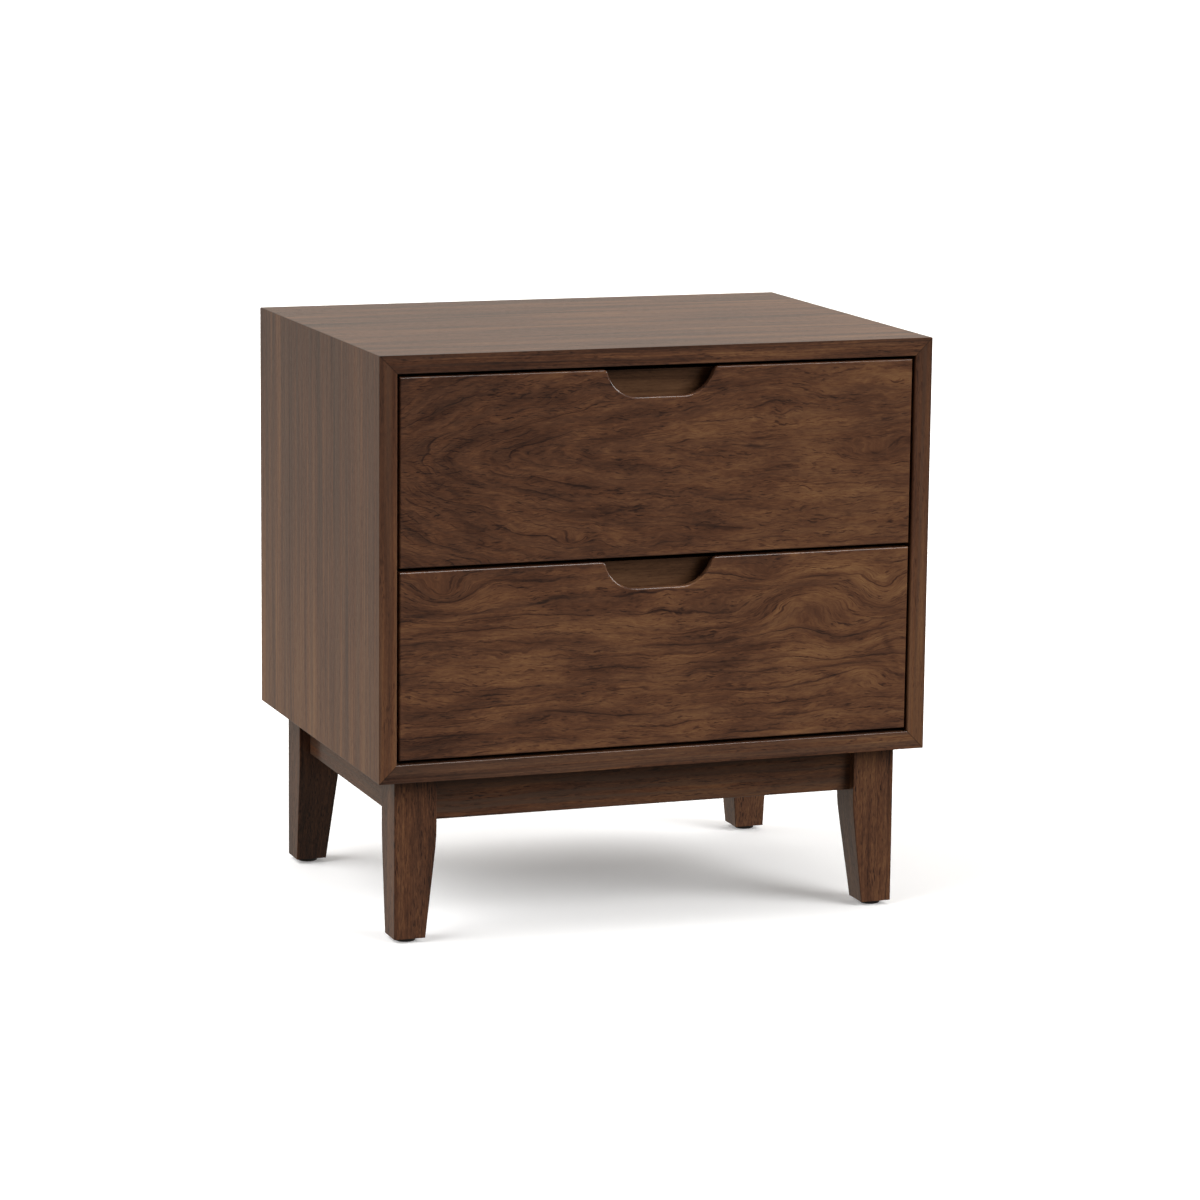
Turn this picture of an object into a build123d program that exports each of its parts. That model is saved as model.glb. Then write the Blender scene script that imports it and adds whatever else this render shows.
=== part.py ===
from build123d import *
import os

# Nightstand with two inset drawers, on a base with four tapered legs.
# Millimetres, +Z up. The origin is on the floor under the middle of the case,
# the drawer fronts face -Y, and +X is to the right of someone who stands before it.

# ---- case ----

width = 610
depth = 450
case_height = 443
board = 19
edge_round = 1.0

back_thickness = 6
back_overlap = 9
back_play = 0.5

spline_thickness = 3
spline_width = 14
spline_stop = 20

# ---- base ----

leg_height = 172
leg_top = 46
leg_foot = 34
leg_bend_radius = 250
leg_bend_below_apron = 18
base_inset = 24
apron_height = 49
apron_setback = 12
tenon_thickness = 10
tenon_length = 16
tenon_shoulder = 8
block_height = 22
block_reach = 55
glide_radius = 11
glide_height = 5
glide_round = 1.5
glide_pin_radius = 2.5
glide_pin_length = 13
glide_pin_hole = 14

# ---- drawer fronts ----

front_thickness = 20
front_setback = 1.5
side_gap = 3
top_gap = 3.5
middle_gap = 4
bottom_gap = 4

front_edge_round = 2

# finger notch in the top edge, the bottom of a wider slot, with a deeper hollow behind its lip
notch_width = 121
notch_depth = 29.5
notch_radius = 36
notch_lip_round = 4.5
hollow_margin = 10
hollow_depth = 12

# ---- drawer boxes ----

box_side = 12
box_end = 14
box_raise = 12
box_below_front = 3
box_bottom = 6
box_bottom_raise = 10
groove_depth = 6
groove_play = 0.2
tail_count = 5
pin_end_width = 8
pin_flare = 2.3

# ---- slides: distances run across from the side of the case, and up or down from the slide's middle ----

slide_length = 400
slide_height = 45
slide_thickness = 12.7
slide_raise = 60
slide_setback = 3
web = 1.2
flange = 2.0
middle_flange = 3.0
flange_gap = 1.1
rail_bend = 0.9
cabinet_rail_end = 11.2
middle_rail_start = 3.2
middle_rail_end = 10.9
drawer_rail_start = 5.6
ball_radius = 1.5
ball_play = 0.08
ball_across = 8.0
balls_in_strip = 6
ball_pitch = 32
strip_length = 180
strip_thickness = 0.5
strip_start = 6.0
strip_end = 10.6
driver_hole_radius = 4.5

# ---- screws ----

screw_radius = 1.75
head_radius = 3.6
pan_head_height = 1.6
screw_play = 0.05
screw_tip = 2.5
recess_width = 0.9
recess_length = 3.8
recess_depth = 1.0
rail_screw_length = 11
front_screw_length = 28
back_screw_length = 16
base_screw_length = 34
leg_screw_length = 46
rail_screw_spacing = 170
back_screw_spacing = 200
front_screw_spacing_x = 400
front_screw_spacing_z = 100
block_screw_from_apron = 12
block_screw_from_tip = 23

# ---- worked out from the sizes above ----

half_width = width / 2
half_depth = depth / 2
case_bottom = glide_height + leg_height
case_top = case_bottom + case_height
case_middle = (case_bottom + case_top) / 2
inside_half_width = half_width - board
inside_bottom = case_bottom + board
inside_top = case_top - board
back_wall_y = half_depth - back_thickness

front_back_y = -half_depth + front_setback + front_thickness
front_width = 2 * (inside_half_width - side_gap)
front_height = (inside_top - inside_bottom - top_gap - middle_gap - bottom_gap) / 2
lower_front = inside_bottom + bottom_gap
upper_front = lower_front + front_height + middle_gap

slide_front_y = front_back_y + slide_setback
slide_rear_y = slide_front_y + slide_length
slide_middle_y = (slide_front_y + slide_rear_y) / 2
slide_rise = box_raise + slide_raise
middle_half_height = slide_height / 2 - flange - flange_gap
drawer_half_height = middle_half_height - middle_flange - flange_gap
outer_row = middle_half_height + flange_gap / 2
inner_row = drawer_half_height + flange_gap / 2
ball_x = -inside_half_width + ball_across

box_half_width = inside_half_width - slide_thickness
box_inner_half_width = box_half_width - box_side
box_length = slide_rear_y - front_back_y
box_height = front_height - box_raise - box_below_front
box_front_inner_y = front_back_y + box_end
box_middle_y = (front_back_y + slide_rear_y) / 2

# the front left corner of the base: the other three mirror it
leg_outer_x = -half_width + base_inset
leg_outer_y = -half_depth + base_inset
leg_inner_x = leg_outer_x + leg_top
leg_inner_y = leg_outer_y + leg_top
apron_inner_x = leg_outer_x + apron_setback + board
apron_inner_y = leg_outer_y + apron_setback + board
apron_middle_z = case_bottom - apron_height / 2
block_bottom = case_bottom - block_height
block_tip_x = leg_inner_x + block_reach
block_tip_y = leg_inner_y + block_reach

os.makedirs("parts", exist_ok=True)


def save(piece, label):
    piece.part.label = label
    export_step(piece.part, f"parts/{label}.step")


def mirrored(piece, *planes):
    """A mirror image of a finished piece, about one plane after another."""
    for plane in planes:
        with BuildPart() as image:
            mirror(piece.part, about=plane)
        piece = image
    return piece


def spread(plane, points):
    """The plane moved to each of the points, which are in its own local axes."""
    return [plane * Location((x, y, 0)) for x, y in points]


# ---- screws, with the surface they are driven into at z = 0 and the shank along -Z ----


def turned_screw(profile):
    """Turn the outline of a screw about Z, and cut the cross recess down from its top."""
    top = max(z for _, z in profile)
    with BuildPart() as screw:
        with BuildSketch(Plane.XZ):
            with BuildLine():
                Polyline(*profile, close=True)
            make_face()
        revolve(axis=Axis.Z)
        with BuildSketch(Plane.XY.offset(top)):
            Rectangle(recess_length, recess_width)
            Rectangle(recess_width, recess_length)
        extrude(amount=-recess_depth, mode=Mode.SUBTRACT)
    return screw


def flat_head_screw(length):
    cone = head_radius - screw_radius
    head = [(0, 0), (head_radius, 0), (screw_radius, -cone)]
    shank = [(screw_radius, screw_tip - length), (0, -length)]
    return turned_screw(head + shank)


def pan_head_screw(length):
    crown = (head_radius - pan_head_height / 2, pan_head_height)
    shoulder = (head_radius, pan_head_height / 2)
    head = [(0, pan_head_height), crown, shoulder, (head_radius, 0), (screw_radius, 0)]
    shank = [(screw_radius, screw_tip - length), (0, -length)]
    return turned_screw(head + shank)


def screw_group(screw, places, label):
    with BuildPart() as group:
        with Locations(*places):
            add(screw.part)
    save(group, label)


def pilot_holes(places, length):
    with Locations(*places):
        Hole(radius=screw_radius + screw_play, depth=length + screw_play)


def countersunk_holes(places, length):
    with Locations(*places):
        CounterSinkHole(
            radius=screw_radius + screw_play,
            counter_sink_radius=head_radius + screw_play,
            depth=length + screw_play,
            counter_sink_angle=90,
        )


rail_screw = pan_head_screw(rail_screw_length)
leg_screw = pan_head_screw(leg_screw_length)
front_screw = flat_head_screw(front_screw_length)
back_screw = flat_head_screw(back_screw_length)
base_screw = flat_head_screw(base_screw_length)

# ---- where the screws go ----

back_screw_x = inside_half_width + back_overlap / 2
back_screw_rise = (inside_top - inside_bottom + back_overlap) / 2
level_edges = [
    (x, rise)
    for x in (-back_screw_spacing, 0, back_screw_spacing)
    for rise in (-back_screw_rise, back_screw_rise)
]
upright_edges = [
    (x, rise)
    for x in (-back_screw_x, back_screw_x)
    for rise in (-back_screw_spacing / 2, back_screw_spacing / 2)
]
back_screw_places = spread(
    Plane((0, half_depth, case_middle), x_dir=(1, 0, 0), z_dir=(0, 1, 0)),
    level_edges + upright_edges,
)

base_screw_corner = (
    (block_tip_x - block_screw_from_tip, apron_inner_y + block_screw_from_apron),
    (apron_inner_x + block_screw_from_apron, block_tip_y - block_screw_from_tip),
)
base_screw_places = spread(
    Plane((0, 0, block_bottom), x_dir=(1, 0, 0), z_dir=(0, 0, -1)),
    [
        (x * side_x, y * side_y)
        for x, y in base_screw_corner
        for side_x in (1, -1)
        for side_y in (1, -1)
    ],
)

block_face_middle = (
    (block_tip_x + apron_inner_x) / 2,
    (block_tip_y + apron_inner_y) / 2,
    block_bottom + block_height / 2,
)
leg_screw_place = Plane(block_face_middle, x_dir=(1, -1, 0), z_dir=(1, 1, 0))


def rail_screw_places(across, front_bottom, facing):
    """Screws of the left slide, on a face that looks along +X or -X at a distance across the slide."""
    face = Plane(
        (-inside_half_width + across, slide_middle_y, front_bottom + slide_rise),
        x_dir=(0, 1, 0),
        z_dir=(facing, 0, 0),
    )
    return spread(face, [(y, 0) for y in (-rail_screw_spacing, 0, rail_screw_spacing)])


def front_screw_places(front_bottom):
    face = Plane(
        (0, box_front_inner_y, front_bottom + box_raise + box_height / 2),
        x_dir=(1, 0, 0),
        z_dir=(0, 1, 0),
    )
    across = front_screw_spacing_x / 2
    up = front_screw_spacing_z / 2
    return spread(face, [(x, z) for x in (-across, across) for z in (-up, up)])


# ---- back panel and splines, which the case boards are cut to fit ----


def back_block(play):
    """The back panel's block, smaller all round by the play."""
    with BuildPart() as block:
        with BuildSketch(Plane.XZ.offset(-half_depth)):
            with Locations((0, case_middle)):
                Rectangle(
                    2 * (inside_half_width + back_overlap - play),
                    inside_top - inside_bottom + 2 * (back_overlap - play),
                )
        extrude(amount=back_thickness)
    return block


back_rabbet = back_block(play=0)
back_panel = back_block(play=back_play)
with back_panel:
    countersunk_holes(back_screw_places, back_screw_length)
save(back_panel, "back_panel")
screw_group(back_screw, back_screw_places, "back_panel_screws")

# each spline crosses its mitre at right angles, and stops short of the front
with BuildPart() as mitre_splines:
    with BuildSketch(Plane.XZ.offset(-back_wall_y)):
        for side in (1, -1):
            for end in (1, -1):
                x = side * (width - board) / 2
                z = case_middle + end * (case_height - board) / 2
                with Locations(Location((x, z, 0), (0, 0, -45 * side * end))):
                    Rectangle(spline_width, spline_thickness)
    extrude(amount=back_wall_y + half_depth - spline_stop)
save(mitre_splines, "mitre_splines")

# ---- case boards ----


def case_board(middle, size, corners, holes, label):
    """A board rounded along its front edges, then mitred. Both outlines are seen from the front."""
    with BuildPart() as piece:
        with BuildSketch(Plane.XZ.offset(-half_depth)):
            with Locations(middle):
                Rectangle(*size)
        extrude(amount=depth)
        front_edges = piece.faces().sort_by(Axis.Y)[0].edges()
        fillet(front_edges.sort_by(SortBy.LENGTH)[-2:], edge_round)
        with BuildSketch(Plane.XZ.offset(-half_depth)):
            with BuildLine():
                Polyline(*corners, close=True)
            make_face()
            with Locations((0, case_middle)):
                RectangleRounded(width, case_height, edge_round, mode=Mode.INTERSECT)
        extrude(amount=depth, mode=Mode.INTERSECT)
        add(back_rabbet.part, mode=Mode.SUBTRACT)
        add(mitre_splines.part, mode=Mode.SUBTRACT)
        pilot_holes(back_screw_places, back_screw_length)
        for places, length in holes:
            pilot_holes(places, length)
    save(piece, label)
    return piece


def level_board(outer_z, inner_z, holes, label):
    corners = [
        (-half_width, outer_z),
        (half_width, outer_z),
        (inside_half_width, inner_z),
        (-inside_half_width, inner_z),
    ]
    return case_board((0, (outer_z + inner_z) / 2), (width, board), corners, holes, label)


left_side_corners = [
    (-half_width, case_bottom),
    (-half_width, case_top),
    (-inside_half_width, inside_top),
    (-inside_half_width, inside_bottom),
]
side_rail_holes = [
    (rail_screw_places(web, front_bottom, facing=1), rail_screw_length)
    for front_bottom in (lower_front, upper_front)
]

level_board(case_top, inside_top, [], "top_panel")
level_board(case_bottom, inside_bottom, [(base_screw_places, base_screw_length)], "bottom_panel")
left_side_panel = case_board(
    (-half_width + board / 2, case_middle),
    (board, case_height),
    left_side_corners,
    side_rail_holes,
    "left_side_panel",
)
save(mirrored(left_side_panel, Plane.YZ), "right_side_panel")

# ---- base: aprons tenoned into the legs, corner blocks, glides ----


def apron(length, place, turn):
    """An apron with a stub tenon on each end, eased along its two lower edges."""
    with BuildPart(Plane(Location(place, (0, 0, turn)))) as piece:
        Box(length, board, apron_height)
        fillet(piece.edges().group_by(Axis.Z)[0].sort_by(SortBy.LENGTH)[-2:], edge_round)
        Box(length + 2 * tenon_length, tenon_thickness, apron_height - 2 * tenon_shoulder)
    return piece


apron_front = apron(-2 * leg_inner_x, (0, apron_inner_y - board / 2, apron_middle_z), turn=0)
apron_left = apron(-2 * leg_inner_y, (apron_inner_x - board / 2, 0, apron_middle_z), turn=90)
save(apron_front, "apron_front")
save(mirrored(apron_front, Plane.XZ), "apron_rear")
save(apron_left, "apron_left")
save(mirrored(apron_left, Plane.YZ), "apron_right")


def leg_side(plane):
    """A leg seen from one side: its outer face is straight and its inner face bends in to the foot."""
    bend_z = leg_height - apron_height - leg_bend_below_apron
    with BuildSketch(plane) as side:
        with BuildLine():
            Polyline(
                (0, 0),
                (leg_foot, 0),
                (leg_top, bend_z),
                (leg_top, leg_height),
                (0, leg_height),
                close=True,
            )
        make_face()
        fillet(side.vertices().group_by(Axis.X)[-1].sort_by(Axis.Y)[0], leg_bend_radius)
    return side.sketch


leg_corner = (leg_outer_x, leg_outer_y, glide_height)
foot_middle = (leg_outer_x + leg_foot / 2, leg_outer_y + leg_foot / 2, glide_height)

seen_from_front = leg_side(Plane(leg_corner, x_dir=(1, 0, 0), z_dir=(0, -1, 0)))
seen_from_side = leg_side(Plane(leg_corner, x_dir=(0, 1, 0), z_dir=(1, 0, 0)))

with BuildPart() as leg_front_left:
    extrude(seen_from_front, amount=-leg_top)
    extrude(seen_from_side, amount=leg_top, mode=Mode.INTERSECT)
    upright = leg_front_left.edges().filter_by(lambda edge: edge.bounding_box().size.Z > 1)
    fillet(upright, edge_round)
    add(apron_front.part, mode=Mode.SUBTRACT)
    add(apron_left.part, mode=Mode.SUBTRACT)
    with Locations(Plane(foot_middle, x_dir=(1, 0, 0), z_dir=(0, 0, -1))):
        Hole(radius=glide_pin_radius + screw_play, depth=glide_pin_hole)
    pilot_holes([leg_screw_place], leg_screw_length)
save(leg_front_left, "leg_front_left")
save(mirrored(leg_front_left, Plane.YZ), "leg_front_right")
save(mirrored(leg_front_left, Plane.XZ), "leg_rear_left")
save(mirrored(leg_front_left, Plane.YZ, Plane.XZ), "leg_rear_right")


def on_every_corner():
    """Repeat what stands in the front left corner in the other three."""
    mirror(about=Plane.YZ)
    mirror(about=Plane.XZ)


with BuildPart() as corner_blocks:
    with BuildSketch(Plane.XY.offset(block_bottom)):
        with BuildLine():
            Polyline(
                (leg_inner_x, apron_inner_y),
                (block_tip_x, apron_inner_y),
                (apron_inner_x, block_tip_y),
                (apron_inner_x, leg_inner_y),
                (leg_inner_x, leg_inner_y),
                close=True,
            )
        make_face()
    extrude(amount=block_height)
    pilot_holes([leg_screw_place], leg_screw_length)
    on_every_corner()
    countersunk_holes(base_screw_places, base_screw_length)
save(corner_blocks, "corner_blocks")
screw_group(base_screw, base_screw_places, "base_screws")

with BuildPart() as leg_screws:
    with Locations(leg_screw_place):
        add(leg_screw.part)
    on_every_corner()
save(leg_screws, "leg_screws")

with BuildPart() as leg_glides:
    with Locations(Plane(foot_middle)):
        Cylinder(glide_radius, glide_height, align=(Align.CENTER, Align.CENTER, Align.MAX))
    fillet(leg_glides.edges().group_by(Axis.Z)[0], glide_round)
    with Locations(Plane(foot_middle)):
        Cylinder(glide_pin_radius, glide_pin_length, align=(Align.CENTER, Align.CENTER, Align.MIN))
    on_every_corner()
save(leg_glides, "leg_glides")

# ---- slides ----


def rail_end(front_bottom):
    """Plane at the rear end of the left slide: local x runs across it, local y up."""
    return Plane(
        (-inside_half_width, slide_rear_y, front_bottom + slide_rise),
        x_dir=(1, 0, 0),
        z_dir=(0, -1, 0),
    )


def span(start, end, height, mode=Mode.ADD):
    """A rectangle from start to end across the slide, even about its middle height."""
    with Locations(((start + end) / 2, 0)):
        Rectangle(end - start, height, mode=mode)


def race(row):
    """The grooves that a row of balls runs in, above and below the slide's middle."""
    with Locations((ball_across, row), (ball_across, -row)):
        Circle(ball_radius + ball_play, mode=Mode.SUBTRACT)


def cabinet_rail(front_bottom):
    with BuildPart() as rail:
        with BuildSketch(rail_end(front_bottom)) as section:
            span(0, cabinet_rail_end, slide_height)
            fillet(section.vertices().group_by(Axis.X)[0], rail_bend)
            span(web, cabinet_rail_end, slide_height - 2 * flange, mode=Mode.SUBTRACT)
            race(outer_row)
        extrude(amount=slide_length)
        pilot_holes(rail_screw_places(web, front_bottom, facing=1), web)
    return rail


def middle_rail(front_bottom):
    """The rail between the two others, with a hole over each screw for the driver."""
    inner_face = middle_rail_start + web
    inner_height = 2 * (middle_half_height - middle_flange)
    with BuildPart() as rail:
        with BuildSketch(rail_end(front_bottom)) as section:
            span(middle_rail_start, middle_rail_end, 2 * middle_half_height)
            fillet(section.vertices().group_by(Axis.X)[0], rail_bend)
            span(inner_face, middle_rail_end, inner_height, mode=Mode.SUBTRACT)
            race(outer_row)
            race(inner_row)
        extrude(amount=slide_length)
        with Locations(*rail_screw_places(inner_face, front_bottom, facing=1)):
            Hole(radius=driver_hole_radius, depth=web)
    return rail


def drawer_rail(front_bottom):
    inner_face = slide_thickness - web
    inner_height = 2 * (drawer_half_height - flange)
    with BuildPart() as rail:
        with BuildSketch(rail_end(front_bottom)) as section:
            span(drawer_rail_start, slide_thickness, 2 * drawer_half_height)
            fillet(section.vertices().group_by(Axis.X)[-1], rail_bend)
            span(drawer_rail_start, inner_face, inner_height, mode=Mode.SUBTRACT)
            race(inner_row)
        extrude(amount=slide_length)
        pilot_holes(rail_screw_places(inner_face, front_bottom, facing=-1), web)
    return rail


def both_sides(left_piece, prefix, name):
    save(left_piece, f"{prefix}_left_{name}")
    save(mirrored(left_piece, Plane.YZ), f"{prefix}_right_{name}")


def ball_strips(front_bottom, row, prefix, name):
    """The four strips that keep one stage's balls apart, on both slides of a drawer, and their balls."""
    slide_z = front_bottom + slide_rise
    first_y = slide_middle_y - (balls_in_strip - 1) / 2 * ball_pitch
    heights = (slide_z - row, slide_z + row)
    ball_places = [(ball_x, first_y + i * ball_pitch, z) for i in range(balls_in_strip) for z in heights]
    strip_x = -inside_half_width + (strip_start + strip_end) / 2

    with BuildPart() as strips:
        with Locations(*[(strip_x, slide_middle_y, z) for z in heights]):
            Box(strip_end - strip_start, strip_length, strip_thickness)
        with Locations(*ball_places):
            Cylinder(ball_radius + ball_play, 2 * strip_thickness, mode=Mode.SUBTRACT)
        mirror(about=Plane.YZ)
    save(strips, f"{prefix}_{name}_retainers")

    with BuildPart() as balls:
        with Locations(*ball_places):
            Sphere(ball_radius)
        mirror(about=Plane.YZ)
    save(balls, f"{prefix}_{name}_balls")


# ---- drawers ----


def drawer_front(front_bottom):
    slot_z = front_bottom + front_height - notch_depth + notch_radius
    rear_face = Plane.XZ.offset(-front_back_y)
    with BuildPart() as piece:
        with BuildSketch(rear_face) as outline:
            with Locations((0, front_bottom + front_height / 2)):
                Rectangle(front_width, front_height)
            with Locations((0, slot_z)):
                SlotOverall(notch_width, 2 * notch_radius, mode=Mode.SUBTRACT)
            lip_corners = outline.vertices().group_by(Axis.Y)[-1].sort_by(Axis.X)[1:3]
            fillet(lip_corners, notch_lip_round)
        extrude(amount=front_thickness)
        fillet(piece.faces().sort_by(Axis.Y)[0].edges(), front_edge_round)
        with BuildSketch(rear_face):
            with Locations((0, slot_z)):
                SlotOverall(notch_width + 2 * hollow_margin, 2 * (notch_radius + hollow_margin))
        extrude(amount=hollow_depth, mode=Mode.SUBTRACT)
        pilot_holes(front_screw_places(front_bottom), front_screw_length)
    return piece


def drawer_bottom(front_bottom, play):
    """The thin bottom, or, with the play added above it, the groove that takes it."""
    low = front_bottom + box_raise + box_bottom_raise
    with BuildPart() as piece:
        with BuildSketch(Plane.XY.offset(low)):
            with Locations((0, box_middle_y)):
                Rectangle(
                    2 * (box_inner_half_width + groove_depth),
                    box_length - 2 * box_end + 2 * groove_depth,
                )
        extrude(amount=box_bottom + play)
    return piece


def box_left_side(front_bottom, groove):
    """A side of the box, with dovetails on both ends that narrow towards its middle."""
    low = front_bottom + box_raise
    pitch = box_height / tail_count
    end_half = pin_end_width / 2
    shoulder_half = end_half + pin_flare
    with BuildPart() as piece:
        with BuildSketch(Plane.YZ.offset(-box_half_width)):
            with Locations((box_middle_y, low + box_height / 2)):
                Rectangle(box_length, box_height)
            for end_y, inward in ((front_back_y, box_end), (slide_rear_y, -box_end)):
                for i in range(tail_count + 1):
                    z = low + i * pitch
                    with BuildLine():
                        Polyline(
                            (end_y, z - end_half),
                            (end_y, z + end_half),
                            (end_y + inward, z + shoulder_half),
                            (end_y + inward, z - shoulder_half),
                            close=True,
                        )
                    make_face(mode=Mode.SUBTRACT)
        extrude(amount=box_side)
        add(groove.part, mode=Mode.SUBTRACT)
        pilot_holes(rail_screw_places(slide_thickness - web, front_bottom, facing=-1), rail_screw_length)
    return piece


def box_end_board(front_bottom, middle_y, left_side, groove):
    """The front or back of the box: what the dovetailed sides leave of a full-width board."""
    with BuildPart() as piece:
        with Locations((0, middle_y, front_bottom + box_raise + box_height / 2)):
            Box(2 * box_half_width, box_end, box_height)
        add(left_side.part, mode=Mode.SUBTRACT)
        mirror(left_side.part, about=Plane.YZ, mode=Mode.SUBTRACT)
        add(groove.part, mode=Mode.SUBTRACT)
    return piece


def make_drawer(prefix, front_bottom):
    groove = drawer_bottom(front_bottom, play=groove_play)
    left_side = box_left_side(front_bottom, groove)
    box_front = box_end_board(front_bottom, front_back_y + box_end / 2, left_side, groove)
    box_back = box_end_board(front_bottom, slide_rear_y - box_end / 2, left_side, groove)
    with box_front:
        countersunk_holes(front_screw_places(front_bottom), front_screw_length)

    save(drawer_front(front_bottom), f"{prefix}_drawer_front")
    save(box_front, f"{prefix}_box_front")
    save(box_back, f"{prefix}_box_back")
    both_sides(left_side, prefix, "box_side")
    save(drawer_bottom(front_bottom, play=0), f"{prefix}_box_bottom")
    screw_group(front_screw, front_screw_places(front_bottom), f"{prefix}_front_screws")

    both_sides(cabinet_rail(front_bottom), prefix, "cabinet_rail")
    both_sides(middle_rail(front_bottom), prefix, "middle_rail")
    both_sides(drawer_rail(front_bottom), prefix, "drawer_rail")
    ball_strips(front_bottom, outer_row, prefix, "outer")
    ball_strips(front_bottom, inner_row, prefix, "inner")

    for across, facing, name in (
        (web, 1, "cabinet_rail_screws"),
        (slide_thickness - web, -1, "drawer_rail_screws"),
    ):
        with BuildPart() as rail_screws:
            with Locations(*rail_screw_places(across, front_bottom, facing)):
                add(rail_screw.part)
            mirror(about=Plane.YZ)
        save(rail_screws, f"{prefix}_{name}")


make_drawer("lower", lower_front)
make_drawer("upper", upper_front)
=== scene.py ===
"""Looks for a walnut nightstand with two drawers: camera, studio light, and a material on every part.

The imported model's own nodes are all shown. Grain is worked out from each part's own coordinates, in
millimetres, as (along, across, through), so it stays on the board when a drawer slides.
"""

import math

import bpy
from mathutils import Matrix, Vector


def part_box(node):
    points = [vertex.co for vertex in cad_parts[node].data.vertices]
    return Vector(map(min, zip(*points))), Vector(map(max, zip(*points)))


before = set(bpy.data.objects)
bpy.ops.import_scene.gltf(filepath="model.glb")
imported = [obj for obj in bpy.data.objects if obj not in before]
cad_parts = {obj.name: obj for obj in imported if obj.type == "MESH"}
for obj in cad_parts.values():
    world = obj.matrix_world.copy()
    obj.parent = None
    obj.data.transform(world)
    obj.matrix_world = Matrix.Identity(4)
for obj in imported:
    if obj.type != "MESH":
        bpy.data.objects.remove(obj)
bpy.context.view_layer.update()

# Camera, in metres and degrees
CAMERA_PLACE = (-1.574, -4.373, 1.163)
CAMERA_YAW = 19.98
CAMERA_PITCH = -10.34
CAMERA_ROLL = 0.59
CAMERA_LENS_MM = 129.75
CAMERA_SENSOR_MM = 36.0
CAMERA_SEES_TO = 200.0

# Studio: suns stand for large softboxes, so the floor is lit evenly as far as it goes.
# Each is (name, the direction it comes from, its spread in degrees, its strength, whether it lights the wood,
# whether the lacquer mirrors it). The two glints are only mirrored, to draw pale lines along rounded edges.
SOFTBOXES = (
    ("key", (0.80, -0.86, 0.64), 38.0, 3.05, True, False),
    ("left", (-1.00, 0.05, 0.95), 60.0, 3.10, True, False),
    ("overhead", (0.14, 0.30, 1.00), 60.0, 0.95, True, True),
    ("side_glint", (0.90, -0.22, 0.42), 24.0, 2.40, False, True),
    ("high_glint", (0.26, -0.36, 0.89), 28.0, 2.10, False, True),
)

FLOOR_SIZE = 120.0
FLOOR_WHITE = (0.86, 0.86, 0.86, 1.0)
FLOOR_ROUGHNESS = 0.9
FLOOR_GLOW = 0.22

# Surroundings: the walls fade from the bright side to the opposite one, and the floor's own light comes from
# below. Each fade runs between two values of a direction's share along an axis.
SEEN_WHITE = (1.0, 1.0, 1.0, 1.0)
WALL_COLOUR = (1.0, 0.90, 0.79, 1.0)
WALL_BRIGHT_SIDE = (0.35, 0.85, 0.40)
WALL_FADE = (-0.2, 0.95)
WALL_LIGHT = (0.10, 0.45)
BOUNCE_FADE = (-0.22, -0.55)
BOUNCE_LIGHT = (0.0, 0.22)

# The case, in metres, for the mitre lines
CASE_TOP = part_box("top_panel")[1]
CASE_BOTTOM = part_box("bottom_panel")[0]
CASE_MIDDLE_Z = (CASE_TOP[2] + CASE_BOTTOM[2]) / 2.0
CASE_HALF_WIDTH = (CASE_TOP[0] - CASE_BOTTOM[0]) / 2.0
CASE_HALF_HEIGHT = (CASE_TOP[2] - CASE_BOTTOM[2]) / 2.0


# ---------------------------------------------------------------- node helpers

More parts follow.
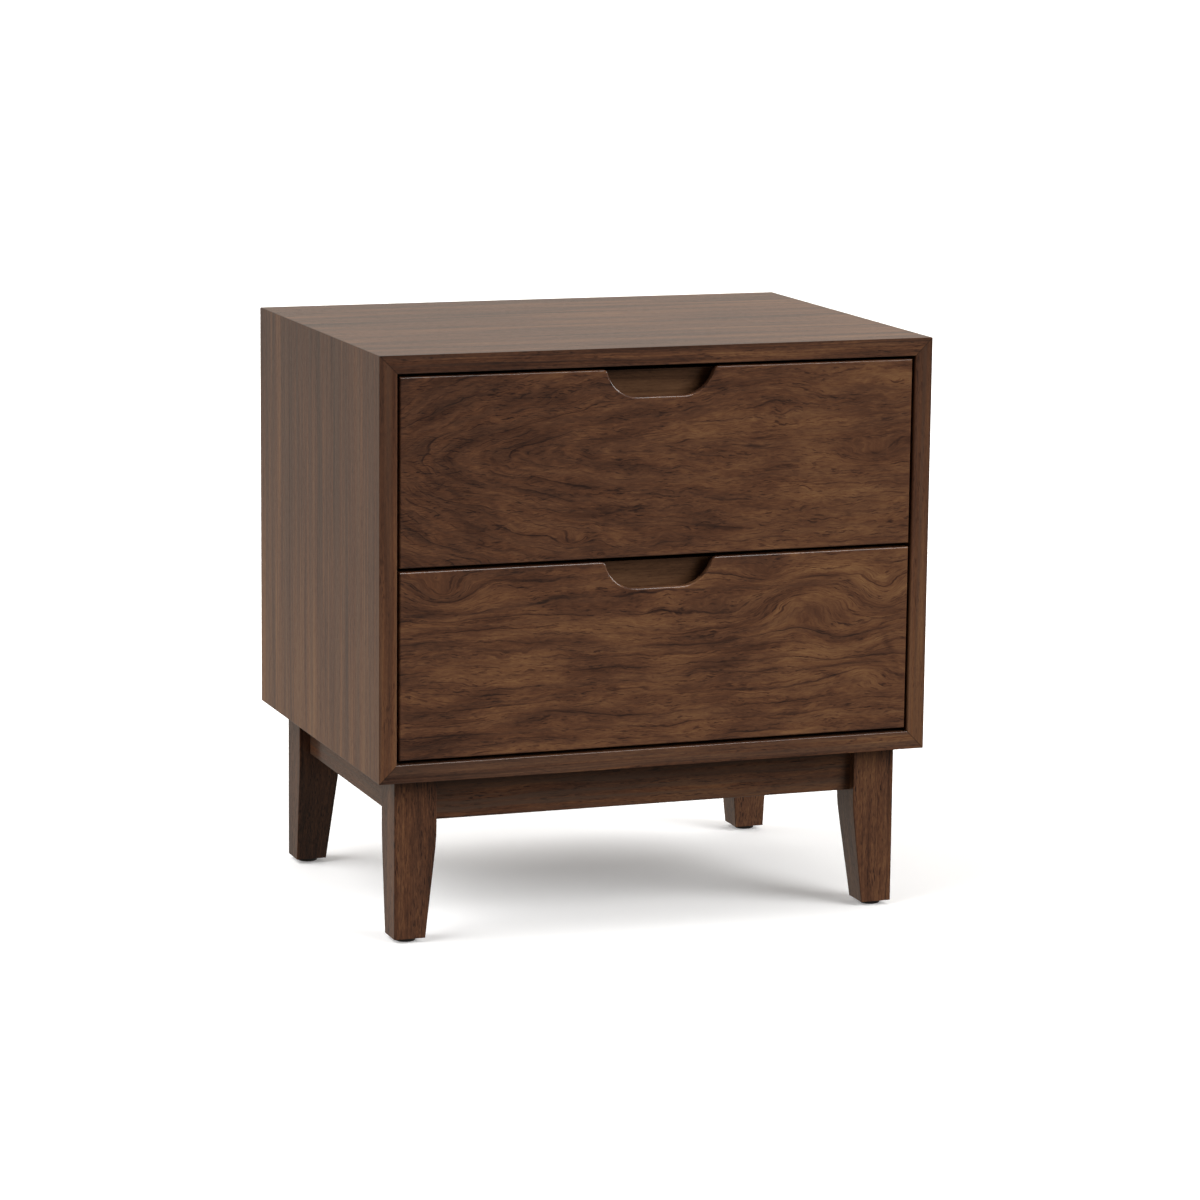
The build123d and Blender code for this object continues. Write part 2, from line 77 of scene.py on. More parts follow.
class Tree:
    """Builds one material's nodes. Most methods take numbers or sockets and return the output socket."""

    def __init__(self, name):
        self.material = bpy.data.materials.new(name)
        self.material.use_nodes = True
        self.nodes = self.material.node_tree.nodes
        self.links = self.material.node_tree.links
        self.shader = self.nodes["Principled BSDF"]

    def put(self, socket, value):
        if isinstance(value, bpy.types.NodeSocket):
            self.links.new(value, socket)
        else:
            socket.default_value = value

    def math(self, operation, a, b=0.0):
        node = self.nodes.new("ShaderNodeMath")
        node.operation = operation
        self.put(node.inputs[0], a)
        self.put(node.inputs[1], b)
        return node.outputs[0]

    def add(self, *terms):
        total = terms[0]
        for term in terms[1:]:
            total = self.math("ADD", total, term)
        return total

    def minus(self, a, b):
        return self.math("SUBTRACT", a, b)

    def times(self, a, b):
        return self.math("MULTIPLY", a, b)

    def vector(self, operation, a, b=(0.0, 0.0, 0.0), output=0):
        node = self.nodes.new("ShaderNodeVectorMath")
        node.operation = operation
        self.put(node.inputs[0], a)
        self.put(node.inputs[1], b)
        return node.outputs[output]

    def split(self, vector):
        node = self.nodes.new("ShaderNodeSeparateXYZ")
        self.put(node.inputs[0], vector)
        return node.outputs[0], node.outputs[1], node.outputs[2]

    def join(self, x, y, z):
        node = self.nodes.new("ShaderNodeCombineXYZ")
        for socket, value in zip(node.inputs, (x, y, z)):
            self.put(socket, value)
        return node.outputs[0]

    def noise(self, vector, cell, detail=2.0, rough=0.5):
        """Noise from 0 to 1 whose cells measure `cell` millimetres along, across and through the board."""
        node = self.nodes.new("ShaderNodeTexNoise")
        self.put(node.inputs["Vector"], self.vector("DIVIDE", vector, cell))
        node.inputs["Scale"].default_value = 1.0
        node.inputs["Detail"].default_value = detail
        node.inputs["Roughness"].default_value = rough
        return node.outputs[0]

    def swing(self, vector, cell, reach, detail=2.0, rough=0.5):
        """Noise from about -reach to +reach."""
        return self.centred(self.noise(vector, cell, detail, rough), reach)

    def centred(self, noise, reach):
        """Noise from 0 to 1 turned into noise from about -reach to +reach."""
        return self.times(self.minus(noise, 0.5), 2.0 * reach)

    def ramp(self, value, stops):
        """Stops are (position, grey) or (position, (r, g, b))."""
        node = self.nodes.new("ShaderNodeValToRGB")
        elements = node.color_ramp.elements
        while len(elements) < len(stops):
            elements.new(1.0)
        for element, (position, colour) in zip(elements, stops):
            element.position = position
            rgb = (colour,) * 3 if isinstance(colour, float) else colour
            element.color = (*rgb, 1.0)
        self.put(node.inputs[0], value)
        return node.outputs[0]

    def mix(self, factor, a, b):
        """Colour a where the factor is 0, and colour b where it is 1."""
        node = self.nodes.new("ShaderNodeMix")
        node.data_type = "RGBA"
        self.put(node.inputs[0], factor)
        for socket, value in ((node.inputs[6], a), (node.inputs[7], b)):
            self.put(socket, value if isinstance(value, bpy.types.NodeSocket) else (*value, 1.0))
        return node.outputs[2]

    def bump(self, height, depth_mm):
        node = self.nodes.new("ShaderNodeBump")
        node.inputs["Distance"].default_value = depth_mm / 1000.0
        self.put(node.inputs["Height"], height)
        self.put(self.shader.inputs["Normal"], node.outputs[0])

    def place(self):
        """The part's own coordinates, in metres."""
        return self.nodes.new("ShaderNodeTexCoord").outputs["Object"]

    def place_mm(self):
        return self.vector("MULTIPLY", self.place(), (1000.0,) * 3)


# ---------------------------------------------------------------- wood

AXES = {"X": 0, "Y": 1, "Z": 2}

WALNUT_STOPS = (
    (0.08, (0.022, 0.0100, 0.0070)),
    (0.28, (0.057, 0.0240, 0.0138)),
    (0.46, (0.102, 0.0428, 0.0220)),
    (0.62, (0.156, 0.0710, 0.0328)),
    (0.86, (0.250, 0.1260, 0.0540)),
)
DUST_COLOUR = (0.075, 0.046, 0.032)
SEAM_COLOUR = (0.012, 0.007, 0.005)
WOOD_SPECULAR = 0.09
LACQUER = 0.6
LACQUER_ROUGHNESS = 0.17
GRAIN_DEPTH_MM = 0.05

# Noise cells in millimetres: along, across and through the board
SHORT_WAVE_CELL = (26.0, 11.0, 11.0)
BROAD_CELL = (260.0, 90.0, 90.0)
PATCH_CELL = (84.0, 20.0, 26.0)
CURL_CELL = (19.0, 3.2, 4.6)
STREAK_LENGTH = 240.0
FLECK_CELL = (8.0, 1.2, 1.2)
RING_DRIFT_CELL = (320.0, 30.0, 30.0)
RING_ZONE_CELL = (110.0, 16.0, 16.0)
HAIR_DRIFT_CELL = (140.0, 18.0, 18.0)
HAIR_ZONE_CELL = (46.0, 10.0, 10.0)
PORE_CELL = (9.0, 0.95, 0.95)
PORE_ZONE_CELL = (50.0, 9.0, 9.0)
DUST_CELL = (150.0, 6.0, 6.0)
RAGGED_CELL = (14.0, 2.6, 2.6)
ARCH_WANDER_CELL = (110.0, 46.0, 46.0)
ARCH_WANDER = 12.0

# Rings and hairlines wander by this many gaps. A hairline's gap is in millimetres.
RING_DRIFT = 0.9
HAIR_DRIFT = 1.6
HAIR_GAP = 6.5

# How dark a line is at each place in its gap, which counts from 0 to 1
RING_LINE = ((0.0, 0.45), (0.035, 1.0), (0.10, 0.30), (0.36, 0.0), (0.96, 0.05))
HAIR_LINE = ((0.0, 0.0), (0.05, 1.0), (0.17, 0.0))

# Shares by level of noise: where rings, hairlines, pores, dust and ragged edges show
RING_ZONE = ((0.42, 0.0), (0.60, 1.0))
HAIR_ZONE = ((0.47, 0.0), (0.60, 1.0))
PORE_SPOT = ((0.58, 0.0), (0.66, 1.0))
PORE_ZONE = ((0.42, 0.15), (0.62, 1.0))
DUST_ZONE = (0.40, 0.62)
RAGGED_EDGE = ((0.34, 0.25), (0.62, 1.0))
GLOSS_SPREAD = (0.30, 0.70)

# Shares by how far a surface turns to the front, and by distance from a mitre in millimetres
FRONT_FADE = ((0.3, 0.0), (0.9, 1.0))
SEAM_LINE = ((0.35, 0.55), (1.00, 0.0))


def stretched(cell, reach):
    """The noise cell with its length along the grain multiplied by reach."""
    return (cell[0] * reach, cell[1], cell[2])


def board_coordinates(tree, grain):
    """(along, across, through) in millimetres. `grain` names the three axes in that order, such as XZY."""
    parts = tree.split(tree.place_mm())
    return tree.join(*(parts[AXES[letter]] for letter in grain))


def bell(tree, spot, middle, reach_along, reach_across):
    """1 at the middle, falling smoothly to 0 over the two reaches."""
    away = tree.vector("SUBTRACT", spot, (*middle, 0.0))
    away = tree.vector("MULTIPLY", away, (1.0 / reach_along, 1.0 / reach_across, 0.0))
    distance = tree.vector("LENGTH", away, output=1)
    return tree.math("EXPONENT", tree.times(tree.math("POWER", distance, 2.0), -1.0))


def figure_push(tree, spot, figure):
    """How far each swirl pushes the grain sideways: (along, across, reach along, reach across, push)."""
    return [
        tree.times(bell(tree, spot, (along, across), reach_along, reach_across), push)
        for along, across, reach_along, reach_across, push in figure
    ]


def ring_lines(tree, ring, layer, along, reach, gap, ring_fade):
    """Growth rings: thin dark lines of late wood that fade on one side, and are stronger in some zones."""
    drift = tree.swing(layer, stretched(RING_DRIFT_CELL, reach), RING_DRIFT, 1.0)
    turns = tree.add(tree.times(ring, 1.0 / gap), drift)
    line = tree.ramp(tree.math("FRACT", turns), RING_LINE)
    zone = tree.ramp(tree.noise(layer, stretched(RING_ZONE_CELL, reach), 2.0), RING_ZONE)
    if ring_fade:
        start, stop, share = ring_fade
        there = tree.math("DIVIDE", tree.minus(along, start), stop - start)
        zone = tree.times(zone, tree.ramp(there, ((0.0, 1.0), (1.0, share))))
    return tree.times(line, zone)


def hairlines(tree, ring, layer, fibre):
    """Finer dark lines between the rings, which come and go."""
    turns = tree.add(tree.times(ring, 1.0 / HAIR_GAP), tree.swing(layer, HAIR_DRIFT_CELL, HAIR_DRIFT))
    line = tree.ramp(tree.math("FRACT", turns), HAIR_LINE)
    zone = tree.ramp(tree.noise(fibre, HAIR_ZONE_CELL, 3.0), HAIR_ZONE)
    return tree.times(line, zone)


def pore_ticks(tree, fibre):
    """Short dark ticks along the grain."""
    spots = tree.ramp(tree.noise(fibre, PORE_CELL, 1.0), PORE_SPOT)
    zone = tree.ramp(tree.noise(fibre, PORE_ZONE_CELL, 2.0), PORE_ZONE)
    return tree.times(spots, zone)


def wood(
    name, grain, shift, stops=WALNUT_STOPS, level=0.5, drift=0.0, heart=None, figure=(), marks=(),
    wave=(150.0, 46.0), swing=8.0, ripple=2.2, reach=1.0, broad=0.12, patch=0.50, curl=0.16, streak=0.08,
    streak_gap=2.6, fleck=0.30, rings=0.34, ring_gap=19.0, ring_fade=None, hairs=0.0, pores=0.42, grey=0.12,
    mitred=False, front_edge_dark=0.0, roughness=(0.36, 0.50),
):
    """A satin-lacquered board. Levels are shares of the colour ramp, and lengths are millimetres.

    `shift` says which part of the endless pattern the board is cut from. `drift` is painted light: a change
    of tone per metre along the grain, so that the board is lighter towards one end as if more light fell
    there.
    `heart` draws the nested arches of flat-sawn wood, as arches() says. `reach` stretches the pattern along
    the grain. `ring_fade` is (along, along, share): the rings weaken to that share between the two places.
    """
    tree = Tree(name)
    spot = board_coordinates(tree, grain)
    shifted = tree.vector("ADD", spot, shift)
    along, across, through = tree.split(spot)

    # Bend the grain, then number the rings across it
    long_wave = tree.swing(shifted, (wave[0], wave[1], wave[1]), swing, 2.0, 0.45)
    short_wave = tree.swing(shifted, stretched(SHORT_WAVE_CELL, reach), ripple)
    bent = tree.add(across, long_wave, short_wave, *figure_push(tree, spot, figure))
    fibre = tree.vector("ADD", tree.join(along, bent, through), shift)
    if heart:
        ring = arches(tree, along, bent, heart)
    else:
        ring = tree.add(bent, tree.times(through, 0.7))
    layer = tree.vector("ADD", tree.join(along, ring, tree.add(through, tree.times(bent, 0.5))), shift)

    # Broad zones, patches and curls that follow the rings, long streaks, and fine flecks along the fibre
    flecks = tree.noise(fibre, FLECK_CELL, 3.0, 0.65)
    tone = tree.add(
        level,
        tree.swing(shifted, BROAD_CELL, broad, 1.0),
        tree.swing(layer, stretched(PATCH_CELL, reach), patch, 4.0, 0.53),
        tree.swing(layer, stretched(CURL_CELL, reach), curl, 3.0, 0.55),
        tree.swing(layer, (STREAK_LENGTH, streak_gap, streak_gap), streak, 3.0, 0.55),
        tree.centred(flecks, fleck),
    )
    # Painted light: the tone changes steadily along the board by `drift`, lighter towards one end.
    if drift:
        tone = tree.add(tone, tree.times(along, drift / 1000.0))
    if front_edge_dark:
        tone = tree.minus(tone, tree.times(facing_front(tree), front_edge_dark))

    # Dark lines, pores and marks
    late_wood = ring_lines(tree, ring, layer, along, reach, ring_gap, ring_fade)
    tone = tree.minus(tone, tree.times(late_wood, rings))
    if hairs:
        tone = tree.minus(tone, tree.times(hairlines(tree, ring, layer, fibre), hairs))
    pore = pore_ticks(tree, fibre)
    tone = tree.minus(tone, tree.times(pore, pores))
    if marks:
        tone = tree.minus(tone, marks_dark(tree, spot, fibre, marks))

    colour = tree.ramp(tone, stops)
    dust = tree.noise(layer, stretched(DUST_CELL, reach), 3.0)
    colour = tree.mix(tree.ramp(dust, ((DUST_ZONE[0], 0.0), (DUST_ZONE[1], grey))), colour, DUST_COLOUR)
    if mitred:
        colour = tree.mix(mitre_seam(tree), colour, SEAM_COLOUR)
    tree.put(tree.shader.inputs["Base Color"], colour)

    gloss = tree.ramp(flecks, ((GLOSS_SPREAD[0], roughness[1]), (GLOSS_SPREAD[1], roughness[0])))
    tree.put(tree.shader.inputs["Roughness"], gloss)
    tree.shader.inputs["Specular IOR Level"].default_value = WOOD_SPECULAR
    tree.shader.inputs["Coat Weight"].default_value = LACQUER
    tree.shader.inputs["Coat Roughness"].default_value = LACQUER_ROUGHNESS
    tree.bump(tree.minus(tree.times(flecks, 0.35), pore), GRAIN_DEPTH_MM)
    return tree.material


def marks_dark(tree, spot, fibre, marks):
    """Dark mineral streaks and knots: (along, across, half length, half width, turn in degrees, darkness)."""
    ragged = tree.ramp(tree.noise(fibre, RAGGED_CELL, 3.0, 0.6), RAGGED_EDGE)
    total = 0.0
    for along, across, half_length, half_width, turn, darkness in marks:
        rotate = tree.nodes.new("ShaderNodeVectorRotate")
        rotate.rotation_type = "Z_AXIS"
        rotate.inputs["Center"].default_value = (along, across, 0.0)
        rotate.inputs["Angle"].default_value = -math.radians(turn)
        tree.put(rotate.inputs["Vector"], spot)
        mark = bell(tree, rotate.outputs[0], (along, across), half_length, half_width)
        total = tree.add(total, tree.times(mark, darkness))
    return tree.times(total, ragged)


def arches(tree, along, across, heart):
    """Ring distance for flat-sawn wood: (across, bluntness, opening, start, length).

    The arches point along the line at `across`. They are most open at `start`, and run into straight grain
    over `length`. Bluntness rounds their tips.
    """
    line, bluntness, opening, start, length = heart
    arm = tree.vector("LENGTH", tree.join(tree.minus(across, line), bluntness, 0.0), output=1)
    gone = tree.math("EXPONENT", tree.times(tree.minus(along, start), -1.0 / length))
    wander = tree.swing(tree.join(along, across, 0.0), ARCH_WANDER_CELL, ARCH_WANDER)
    return tree.add(arm, tree.times(gone, opening * length), wander)


def facing_front(tree):
    """1 on surfaces that face the front, which is -Y, and 0 on the others."""
    normal = tree.nodes.new("ShaderNodeTexCoord").outputs["Normal"]
    return tree.ramp(tree.times(tree.split(normal)[1], -1.0), FRONT_FADE)


def mitre_seam(tree):
    """How much of the dark line between two case boards shows: 0 away from the mitre."""
    x, y, z = tree.split(tree.place())
    from_side = tree.minus(CASE_HALF_WIDTH, tree.math("ABSOLUTE", x))
    from_end = tree.minus(CASE_HALF_HEIGHT, tree.math("ABSOLUTE", tree.minus(z, CASE_MIDDLE_Z)))
    from_mitre_mm = tree.times(tree.math("ABSOLUTE", tree.minus(from_side, from_end)), 1000.0)
    return tree.ramp(from_mitre_mm, SEAM_LINE)


# ---------------------------------------------------------------- metal and plastic

MOTTLE_FADE = ((0.35, 0.0), (0.65, 1.0))
LINE_MM = 0.4


def metal(name, base, dark, roughness, cell, depth_mm=0.01, stretch=(1.0, 1.0, 1.0)):
    """Plated steel with a faint crystal mottle and fine drawing lines. Sizes are in millimetres."""
    tree = Tree(name)
    spot = tree.place_mm()
    mottle = tree.noise(spot, (cell,) * 3, 3.0, 0.55)
    lines = tree.noise(spot, tuple(LINE_MM * share for share in stretch), 2.0)
    tree.put(tree.shader.inputs["Base Color"], tree.mix(tree.ramp(mottle, MOTTLE_FADE), dark, base))
    tree.put(tree.shader.inputs["Roughness"], tree.ramp(lines, ((0.3, roughness[0]), (0.7, roughness[1]))))
    tree.shader.inputs["Metallic"].default_value = 1.0
    tree.bump(lines, depth_mm)
    return tree.material


def plastic(name, low, high, roughness, cell, depth_mm):
    """Moulded plastic with a fine pebbled skin. Sizes are in millimetres."""
    tree = Tree(name)
    grain = tree.noise(tree.place_mm(), (cell,) * 3, 3.0, 0.6)
    tree.put(tree.shader.inputs["Base Color"], tree.mix(grain, low, high))
    tree.put(tree.shader.inputs["Roughness"], tree.ramp(grain, ((0.3, roughness[0]), (0.7, roughness[1]))))
    tree.bump(grain, depth_mm)
    return tree.material


def dress(material, *nodes):
    """Gives CAD nodes one material."""
    for node in nodes:
        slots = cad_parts[node].data.materials
        slots.clear()
        slots.append(material)


# ---------------------------------------------------------------- the parts

# Case: grain runs round the mitred boards
# The side panels' drift is painted light: they get darker towards the top and lighter towards the bottom, as
# if lit off the floor.
SIDE_LOOK = dict(
    level=0.672, drift=-0.47, wave=(420.0, 40.0), swing=3.0, ripple=0.6, reach=6.0, broad=0.12, patch=0.42,
    curl=0.10, streak=0.24, streak_gap=7.0, fleck=0.16, rings=0.10, ring_gap=13.0, pores=0.20, grey=0.45,
    mitred=True, front_edge_dark=0.05, roughness=(0.40, 0.52),
)
# The drift on the top and bottom boards is painted light: they get lighter towards the right.
LEVEL_LOOK = dict(
    level=0.40, drift=0.12, wave=(300.0, 44.0), swing=4.0, ripple=0.9, reach=3.0, broad=0.12, patch=0.50,
    streak=0.36, fleck=0.24, rings=0.22, ring_gap=11.0, pores=0.30, grey=0.20, mitred=True,
    roughness=(0.40, 0.52),
)
BOTTOM_LOOK = dict(LEVEL_LOOK, level=0.39, drift=0.42, grey=0.45)
dress(wood("case_left", "ZYX", (90.0, 31.0, 13.0), **SIDE_LOOK), "left_side_panel")
dress(wood("case_right", "ZYX", (910.0, 77.0, 51.0), **SIDE_LOOK), "right_side_panel")
dress(wood("case_top", "XYZ", (140.0, 305.0, 27.0), **LEVEL_LOOK), "top_panel")
dress(wood("case_bottom", "XYZ", (1730.0, 640.0, 90.0), **BOTTOM_LOOK), "bottom_panel")

# Fronts: figured boards, arched at the left of the upper one and swirling at the right of the lower one.
# Figure and marks are listed one by one: figure_push() and marks_dark() say what their columns are.
# Both fronts' drift is painted light: they get lighter towards the right, where the key light comes from.
UPPER_LOOK = dict(
    level=0.465, drift=0.28, ripple=3.4, reach=0.80, patch=0.35, curl=0.17, streak=0.04, fleck=0.22,
    rings=0.36, ring_gap=15.0, ring_fade=(-150.0, 20.0, 0.40), hairs=0.27, pores=0.34,
    heart=(512.0, 5.0, 0.55, -270.0, 150.0),
    figure=(
        (-97.0, 421.0, 14.0, 7.0, 8.0),
        (239.0, 499.0, 32.0, 11.0, 15.0),
        (120.0, 560.0, 60.0, 20.0, -9.0),
    ),
    marks=(
        (-97.0, 421.0, 7.0, 2.6, -8.0, 0.55),
        (240.0, 499.0, 16.0, 2.6, 4.0, 0.26),
        (-40.0, 452.0, 34.0, 2.2, 12.0, 0.22),
        (-70.0, 455.0, 45.0, 9.0, -6.0, 0.14),
    ),
)
LOWER_LOOK = dict(
    level=0.50, drift=0.22, swing=13.0, ripple=3.2, patch=0.45, curl=0.17, streak=0.04, fleck=0.22,
    rings=0.40, ring_gap=16.0, hairs=0.27, pores=0.34,
    figure=(
        (-234.0, 372.0, 34.0, 18.0, 22.0),
        (165.0, 345.0, 55.0, 28.0, -21.0),
        (212.0, 305.0, 42.0, 24.0, 19.0),
        (255.0, 350.0, 28.0, 24.0, 18.0),
        (120.0, 372.0, 30.0, 12.0, 11.0),
        (232.0, 262.0, 34.0, 14.0, -12.0),
        (40.0, 320.0, 130.0, 28.0, 12.0),
    ),
    marks=(
        (180.0, 330.0, 22.0, 4.0, -42.0, 0.10),
        (214.0, 320.0, 34.0, 6.0, -52.0, 0.14),
        (196.0, 264.0, 20.0, 4.0, -14.0, 0.30),
        (262.0, 292.0, 15.0, 4.0, -65.0, 0.26),
        (-262.0, 350.0, 26.0, 2.6, 14.0, 0.30),
        (-150.0, 268.0, 80.0, 6.0, 5.0, 0.10),
    ),
)
dress(wood("front_upper", "XZY", (55.0, 19.0, 33.0), **UPPER_LOOK), "upper_drawer_front")
dress(wood("front_lower", "XZY", (805.0, 410.0, 71.0), **LOWER_LOOK), "lower_drawer_front")

# Base
LEG_LOOK = dict(
    wave=(120.0, 30.0), swing=2.4, ripple=0.8, reach=2.5, broad=0.06, patch=0.34, streak=0.18, fleck=0.34,
    rings=0.20, ring_gap=8.0, pores=0.42,
)
# Each leg's level is painted light and shade: lower on the left legs, lowest on the rear left one under the
# case, highest on the front right one.
LEG_LEVELS_PAINTED_LIGHT = (
    ("leg_front_left", 0.40),
    ("leg_front_right", 0.49),
    ("leg_rear_left", 0.32),
    ("leg_rear_right", 0.44),
)
for index, (leg, level) in enumerate(LEG_LEVELS_PAINTED_LIGHT):
    place = (60.0 + 260.0 * index, 45.0 * index, 19.0 * index)
    dress(wood(leg, "ZXY", place, level=level, **LEG_LOOK), leg)
APRON_LOOK = dict(
    level=0.45, wave=(200.0, 40.0), swing=5.0, reach=1.6, patch=0.32, streak=0.12, fleck=0.22, rings=0.20,
    grey=0.75,
)
# The front apron's drift is painted light: it gets lighter towards the right.
dress(wood("apron_front", "XZY", (70.0, 900.0, 8.0), drift=0.42, **APRON_LOOK), "apron_front")
dress(wood("apron_rear", "XZY", (1270.0, 960.0, 8.0), **APRON_LOOK), "apron_rear")
dress(wood("apron_left", "YZX", (470.0, 1240.0, 60.0), **APRON_LOOK), "apron_left")
dress(wood("apron_right", "YZX", (870.0, 1440.0, 20.0), **APRON_LOOK), "apron_right")

# Inside: drawer boxes, thin panels and hidden blocks
BOX_STOPS = (
    (0.15, (0.050, 0.0230, 0.0120)),
    (0.40, (0.105, 0.0500, 0.0250)),
    (0.60, (0.155, 0.0780, 0.0390)),
    (0.85, (0.225, 0.1220, 0.0640)),
)
BOX_LOOK = dict(
    stops=BOX_STOPS, wave=(300.0, 36.0), swing=4.0, ripple=0.9, reach=3.0, broad=0.06, patch=0.22,
    streak=0.18, fleck=0.18, rings=0.16, ring_gap=11.0, pores=0.18, roughness=(0.46, 0.60),
)
# The box front and back have a lower level than the other box boards: painted shade, for the box front that
# shows deep in the notch of the drawer front.
END_LOOK_PAINTED_SHADE = dict(BOX_LOOK, level=0.40, patch=0.36, grey=0.0)
DRAWER_BOX = (
    ("box_ends_painted_shade", "XZY", (0.0, 50.0, 5.0), END_LOOK_PAINTED_SHADE, ("box_front", "box_back")),
    ("left_side", "YZX", (90.0, 330.0, 5.0), BOX_LOOK, ("left_box_side",)),
    ("right_side", "YZX", (310.0, 620.0, 5.0), BOX_LOOK, ("right_box_side",)),
    ("floor", "XYZ", (510.0, 870.0, 5.0), BOX_LOOK, ("box_bottom",)),
)
for drawer, step in (("upper", 0.0), ("lower", 700.0)):
    for name, grain, (along, across, through), look, nodes in DRAWER_BOX:
        material = wood(f"{drawer}_{name}", grain, (along + step, across, through), **look)
        dress(material, *(f"{drawer}_{node}" for node in nodes))
BACK_LOOK = dict(LEVEL_LOOK, level=0.50, drift=0.0, mitred=False, roughness=(0.50, 0.62))
dress(wood("back_board", "ZXY", (20.0, 700.0, 5.0), **BACK_LOOK), "back_panel")
PALE_STOPS = (
    (0.15, (0.20, 0.120, 0.066)),
    (0.50, (0.36, 0.235, 0.135)),
    (0.85, (0.52, 0.370, 0.230)),
)
BLOCK_LOOK = dict(BOX_LOOK, stops=PALE_STOPS)
dress(wood("corner_blocks", "XYZ", (33.0, 44.0, 5.0), **BLOCK_LOOK), "corner_blocks")
dress(wood("mitre_splines", "YXZ", (83.0, 94.0, 5.0), **BLOCK_LOOK), "mitre_splines")

# Hardware
glide_plastic = plastic("glides", (0.010, 0.010, 0.010), (0.028, 0.027, 0.026), (0.48, 0.62), 0.8, 0.04)
screw_steel = metal("screw_steel", (0.55, 0.53, 0.48), (0.36, 0.35, 0.33), (0.28, 0.42), 1.2)
rail_steel = metal(
    "rail_steel", (0.66, 0.67, 0.68), (0.50, 0.51, 0.53), (0.24, 0.38), 4.0, stretch=(60.0, 60.0, 1.0),
)
retainer_steel = metal("retainer_steel", (0.52, 0.53, 0.55), (0.38, 0.39, 0.41), (0.34, 0.46), 2.0)
ball_steel = metal("ball_steel", (0.80, 0.80, 0.81), (0.68, 0.68, 0.70), (0.10, 0.18), 1.0, 0.002)
dress(glide_plastic, "leg_glides")
dress(screw_steel, "back_panel_screws", "base_screws", "leg_screws")
for drawer in ("upper", "lower"):
    for screws in ("cabinet_rail", "drawer_rail", "front"):
        dress(screw_steel, f"{drawer}_{screws}_screws")
    for side in ("left", "right"):
        for rail in ("cabinet", "middle", "drawer"):
            dress(rail_steel, f"{drawer}_{side}_{rail}_rail")
    for row in ("inner", "outer"):
        dress(retainer_steel, f"{drawer}_{row}_retainers")
        dress(ball_steel, f"{drawer}_{row}_balls")


# ---------------------------------------------------------------- studio

def camera():
    yaw = math.radians(CAMERA_YAW)
    pitch = math.radians(CAMERA_PITCH)
    data = bpy.data.cameras.new("camera")
    data.lens = CAMERA_LENS_MM
    data.sensor_width = CAMERA_SENSOR_MM
    data.clip_end = CAMERA_SEES_TO
    item = bpy.data.objects.new("camera", data)
    turn = Matrix.Rotation(-yaw, 4, "Z") @ Matrix.Rotation(math.pi / 2 + pitch, 4, "X")
    turn = turn @ Matrix.Rotation(math.radians(CAMERA_ROLL), 4, "Z")
    item.matrix_world = Matrix.Translation(CAMERA_PLACE) @ turn
    bpy.context.scene.collection.objects.link(item)
    bpy.context.scene.camera = item


def softbox(name, comes_from, spread, strength, lights, mirrored):
    """A broad soft light, the same all over the set."""
    data = bpy.data.lights.new(name, "SUN")
    data.angle = math.radians(spread)
    data.energy = strength
    item = bpy.data.objects.new(name, data)
    item.matrix_world = Vector(comes_from).to_track_quat("Z", "Y").to_matrix().to_4x4()
    item.visible_diffuse = lights
    item.visible_glossy = mirrored
    bpy.context.scene.collection.objects.link(item)


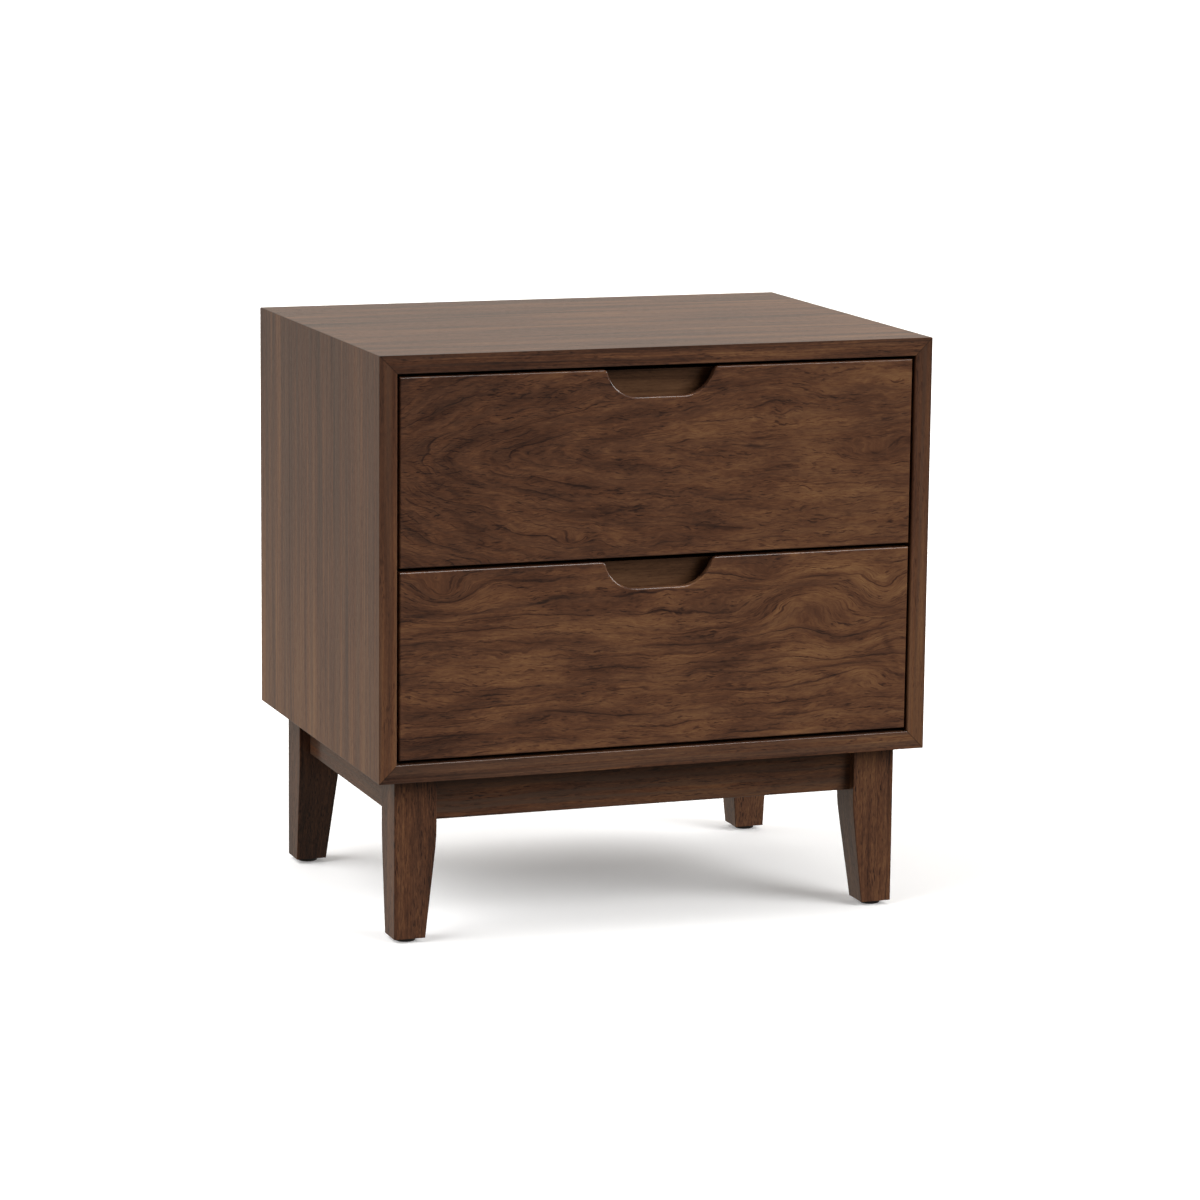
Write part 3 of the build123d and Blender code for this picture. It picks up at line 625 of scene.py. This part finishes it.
def floor():
    """A plain pale floor. It lights nothing by bouncing: the world's bounce stands in for that."""
    half = FLOOR_SIZE / 2.0
    mesh = bpy.data.meshes.new("floor")
    corners = [(-half, -half, 0.0), (half, -half, 0.0), (half, half, 0.0), (-half, half, 0.0)]
    mesh.from_pydata(corners, [], [(0, 1, 2, 3)])
    item = bpy.data.objects.new("floor", mesh)
    bpy.context.scene.collection.objects.link(item)
    tree = Tree("floor_white")
    tree.shader.inputs["Base Color"].default_value = FLOOR_WHITE
    tree.shader.inputs["Roughness"].default_value = FLOOR_ROUGHNESS
    tree.shader.inputs["Specular IOR Level"].default_value = 0.0
    tree.shader.inputs["Emission Color"].default_value = SEEN_WHITE
    tree.shader.inputs["Emission Strength"].default_value = FLOOR_GLOW
    mesh.materials.append(tree.material)
    item.visible_glossy = False
    item.visible_diffuse = False


def fade(world_tree, value, between, light):
    """Light that changes from light[0] to light[1] as the value goes between two limits."""
    node = world_tree.nodes.new("ShaderNodeMapRange")
    node.inputs["From Min"].default_value = between[0]
    node.inputs["From Max"].default_value = between[1]
    node.inputs["To Min"].default_value = light[0]
    node.inputs["To Max"].default_value = light[1]
    world_tree.links.new(value, node.inputs["Value"])
    return node.outputs["Result"]


def surroundings():
    """Pale walls, brightest behind and to the right, and light off the floor. The camera sees plain white."""
    world = bpy.data.worlds.new("studio")
    world.use_nodes = True
    bpy.context.scene.world = world
    nodes = world.node_tree.nodes
    links = world.node_tree.links
    nodes.clear()
    direction = nodes.new("ShaderNodeTexCoord").outputs["Generated"]

    brightwards = nodes.new("ShaderNodeVectorMath")
    brightwards.operation = "DOT_PRODUCT"
    brightwards.inputs[1].default_value = Vector(WALL_BRIGHT_SIDE).normalized()
    links.new(direction, brightwards.inputs[0])
    height = nodes.new("ShaderNodeSeparateXYZ")
    links.new(direction, height.inputs[0])
    total = nodes.new("ShaderNodeMath")
    links.new(fade(world.node_tree, brightwards.outputs["Value"], WALL_FADE, WALL_LIGHT), total.inputs[0])
    links.new(fade(world.node_tree, height.outputs[2], BOUNCE_FADE, BOUNCE_LIGHT), total.inputs[1])

    light = nodes.new("ShaderNodeBackground")
    light.inputs["Color"].default_value = WALL_COLOUR
    links.new(total.outputs[0], light.inputs["Strength"])
    seen = nodes.new("ShaderNodeBackground")
    seen.inputs["Color"].default_value = SEEN_WHITE
    path = nodes.new("ShaderNodeLightPath")
    mix = nodes.new("ShaderNodeMixShader")
    links.new(path.outputs["Is Camera Ray"], mix.inputs[0])
    links.new(light.outputs[0], mix.inputs[1])
    links.new(seen.outputs[0], mix.inputs[2])
    out = nodes.new("ShaderNodeOutputWorld")
    links.new(mix.outputs[0], out.inputs[0])


camera()
for box in SOFTBOXES:
    softbox(*box)
floor()
surroundings()
bpy.context.scene.view_settings.view_transform = "Standard"
